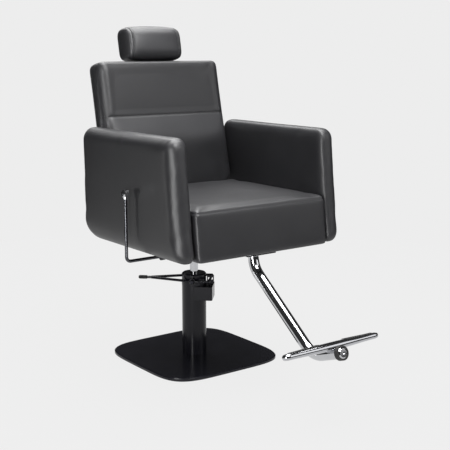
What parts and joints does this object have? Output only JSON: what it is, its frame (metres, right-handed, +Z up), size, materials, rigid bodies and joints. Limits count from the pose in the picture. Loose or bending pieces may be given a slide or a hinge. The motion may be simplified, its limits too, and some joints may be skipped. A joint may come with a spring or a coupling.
{
  "type": "barber chair",
  "caption": "Padded salon chair with slab arms, a reclining back, a sliding headrest and a T-bar footrest, on a pedal-pumped hydraulic column that swivels on a square base.",
  "frame": {"origin": "on the floor, at the axis of the lift column", "axes": "+Z up, -Y towards the front of the seat, +X to the right of somebody who looks at the chair's front"},
  "size_m": [0.6749, 1.046, 1.1102],
  "materials": {
    "upholstery": "matte",
    "black_paint": "satin",
    "black_rubber": "matte",
    "black_plastic": "matte",
    "steel": "satin",
    "chrome": "polished",
    "polished_alloy": "polished",
    "bronze": "satin",
    "plywood": "matte"
  },
  "bodies": {
    "base": {"base_mat": "black_rubber", "base_plate": "black_paint", "base_bolts": "steel", "pump_foot": "steel", "pump_casing": "black_paint", "cylinder_liner": "steel", "pump_head": "black_paint", "guide_bush": "bronze", "rod_seal": "black_rubber", "plunger_block": "black_paint", "trunnion_pins": "steel"},
    "pedal": {"pedal_yoke": "black_paint", "pedal_sleeve": "black_rubber"},
    "plunger": {"pump_plunger": "steel"},
    "lift": {"piston_rod": "chrome", "piston": "steel", "piston_ring": "black_rubber"},
    "seat": {"seat_mount": "black_paint", "thrust_washer": "bronze", "seat_bolts": "steel", "seat_carcase": "plywood", "seat_cushion": "upholstery", "arm_pad_left": "upholstery", "arm_pad_right": "upholstery", "arm_core_left": "plywood", "arm_core_right": "plywood", "arm_bolts": "steel", "footrest_flange": "black_paint", "footrest_bolts": "steel", "footrest_tube": "chrome", "footrest_bar": "polished_alloy", "footrest_treads": "black_rubber", "footrest_end_ring": "black_rubber", "footrest_end_cap": "chrome", "hinge_bracket_left": "black_paint", "hinge_bracket_right": "black_paint", "hinge_pins": "steel", "shaft_brackets": "black_paint", "strut_bracket": "black_paint", "strut_cylinder": "black_paint"},
    "release_lever": {"release_lever": "chrome", "release_finger": "steel", "release_knob": "chrome"},
    "release_pin": {"release_pin": "steel"},
    "strut_rod": {"strut_rod": "chrome"},
    "backrest": {"back_bar_left": "black_paint", "back_bar_right": "black_paint", "back_cross_tube": "black_paint", "recline_crank": "black_paint", "backrest_core": "plywood", "back_bolts": "steel", "backrest_cushion": "upholstery", "headrest_guide": "black_plastic"},
    "headrest": {"headrest_bar": "chrome", "headrest_core": "plywood", "headrest_pad": "upholstery"}
  },
  "joints": [
    {"name": "pedal_hinge", "type": "hinge", "parent": "base", "child": "pedal", "pos_m": [0, 0, 0.271], "axis": [-0.6691, -0.7431, 0], "range_deg": [0, 20], "stiffness_Nm_per_rad": 6, "springref_deg": -28.65},
    {"name": "plunger_slide", "type": "slide", "parent": "base", "child": "plunger", "axis": [0, 0, 1], "range_m": [0, 0.01935]},
    {"name": "lift_slide", "type": "slide", "parent": "base", "child": "lift", "axis": [0, 0, 1], "range_m": [-0.05, 0.12]},
    {"name": "seat_swivel", "type": "hinge", "parent": "lift", "child": "seat", "pos_m": [0, 0, 0.421], "axis": [0, 0, 1], "continuous": true},
    {"name": "recline_hinge", "type": "hinge", "parent": "seat", "child": "backrest", "pos_m": [0, 0.121, 0.47], "axis": [-1, 0, 0], "range_deg": [0, 35]},
    {"name": "strut_slide", "type": "slide", "parent": "seat", "child": "strut_rod", "axis": [0, -1, 0], "range_m": [0, 0.05192]},
    {"name": "headrest_slide", "type": "slide", "parent": "backrest", "child": "headrest", "axis": [0, 0.1994, 0.9799], "range_m": [0, 0.08]},
    {"name": "release_hinge", "type": "hinge", "parent": "seat", "child": "release_lever", "pos_m": [-0.2, -0.14, 0.4], "axis": [1, 0, 0], "range_deg": [0, 18], "stiffness_Nm_per_rad": 2, "springref_deg": -22.92},
    {"name": "release_pin_slide", "type": "slide", "parent": "seat", "child": "release_pin", "axis": [0, 1, 0], "range_m": [0, 0.00563]}
  ],
  "couplings": [
    {"joint": "plunger_slide", "follows": "pedal_hinge", "m_per_rad": 0.05487},
    {"joint": "strut_slide", "follows": "recline_hinge", "m_per_rad": 0.08467},
    {"joint": "release_pin_slide", "follows": "release_hinge", "m_per_rad": 0.0176}
  ]
}
